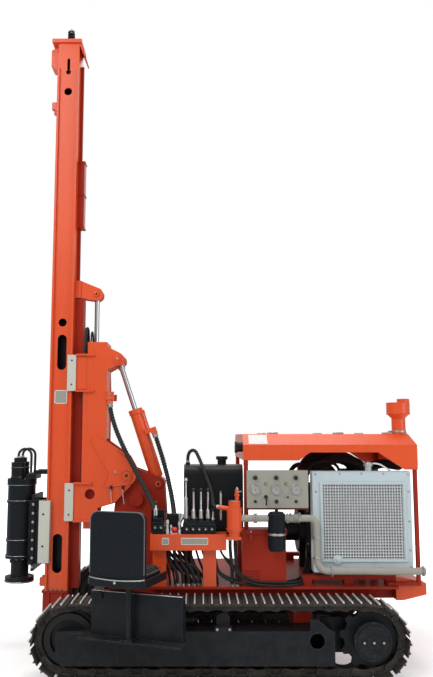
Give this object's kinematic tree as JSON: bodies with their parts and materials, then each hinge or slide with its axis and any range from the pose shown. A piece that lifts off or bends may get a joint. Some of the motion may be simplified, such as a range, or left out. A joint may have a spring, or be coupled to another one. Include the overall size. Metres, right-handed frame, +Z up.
{
  "type": "tracked pile driver rig",
  "caption": "Tracked rig with an upright tilting mast, a rotary drive head on its front, an engine under an open hood, a lever bench and an outboard seat.",
  "frame": {"origin": "on the ground under the middle of the whole rig's box, with the mast upright", "axes": "+Z up along the mast, +X from the mast at the front to the counterweight at the rear, -Y towards the operator's side"},
  "size_m": [3.642, 2.4434, 5.909],
  "materials": {
    "orange_paint": "bright orange enamel, lightly worn",
    "red_paint": "orange-red enamel in shade",
    "navy_paint": "dark blue-grey enamel",
    "track_steel": "dark track steel with bright grouser edges",
    "black_paint": "black enamel",
    "cream_metal": "pale cream enamel",
    "silver_paint": "silver grey enamel",
    "panel_grey": "satin grey panel",
    "chrome_rod": "hard chrome",
    "bright_steel": "bright steel",
    "seat_vinyl": "black vinyl",
    "engine_iron": "black cast iron",
    "black_rubber": "black ribbed hose rubber"
  },
  "bodies": {
    "root": {"track_left": "track_steel", "track_right": "track_steel", "track_frame_left": "navy_paint", "track_frame_right": "navy_paint", "final_drives": "navy_paint", "idlers": "track_steel", "rollers": "track_steel", "chassis": "red_paint", "counterweight": "orange_paint", "mast_seat": "red_paint", "hinge_pins": "bright_steel", "seat_platform": "navy_paint", "seat_post": "black_paint", "seat_shell": "seat_vinyl", "seat_cushion": "seat_vinyl", "back_cushion": "seat_vinyl", "control_bench": "orange_paint", "valve_bank": "black_paint", "levers": "bright_steel", "gauge_panel": "panel_grey", "oil_tank": "black_paint", "battery_box": "red_paint", "filter_canister": "navy_paint", "lubricator": "orange_paint", "air_pipe": "cream_metal", "radiator": "silver_paint", "grille": "silver_paint", "hood": "orange_paint", "hood_posts": "red_paint", "engine": "engine_iron", "pre_cleaner": "orange_paint", "work_lamp": "black_paint", "control_hoses": "black_rubber", "tank_hose": "black_rubber", "beam_gussets": "red_paint", "tank_stand": "red_paint"},
    "carrier": {"slide_frame": "orange_paint", "wear_clamps": "cream_metal", "lift_barrel": "orange_paint", "hose_front": "black_rubber"},
    "mast": {"mast_beam": "orange_paint", "mast_head": "orange_paint", "chain_tensioner": "black_paint", "feed_chain": "track_steel", "mast_foot": "red_paint", "rear_rail": "red_paint", "lift_bracket": "orange_paint", "lift_rod": "chrome_rod"},
    "head": {"head_carriage": "black_paint", "head_clamps": "cream_metal", "gearbox": "navy_paint", "head_motors": "black_paint", "head_hoses": "black_rubber"},
    "spindle": {"spindle": "black_paint"},
    "tilt_barrel": {"tilt_barrel": "orange_paint", "hose_rear": "black_rubber"},
    "tilt_rod": {"tilt_rod": "chrome_rod"}
  },
  "joints": [
    {"name": "mast_tilt", "type": "hinge", "parent": "root", "child": "carrier", "pos_m": [-0.709, 0.22173, 1.522], "axis": [0, 1, 0], "range_deg": [-5, 70]},
    {"name": "mast_slide", "type": "slide", "parent": "carrier", "child": "mast", "axis": [0, 0, 1], "range_m": [-0.15, 0.6]},
    {"name": "head_slide", "type": "slide", "parent": "mast", "child": "head", "axis": [0, 0, 1], "range_m": [-0.12, 3.6]},
    {"name": "spindle_spin", "type": "hinge", "parent": "head", "child": "spindle", "pos_m": [-1.689, 0.22173, 0.567], "axis": [0, 0, 1], "continuous": true},
    {"name": "tilt_barrel_swing", "type": "hinge", "parent": "root", "child": "tilt_barrel", "pos_m": [-0.425, 0.22173, 1.445], "axis": [0, 1, 0], "range_deg": [-6, 72]},
    {"name": "tilt_rod_slide", "type": "slide", "parent": "tilt_barrel", "child": "tilt_rod", "axis": [-0.318, 0, 0.9481], "range_m": [-0.36, 0.03]}
  ],
  "couplings": [
    {"joint": "tilt_barrel_swing", "follows": "mast_tilt", "ratio": 1.0072},
    {"joint": "tilt_rod_slide", "follows": "mast_tilt", "m_per_rad": -0.27619}
  ]
}
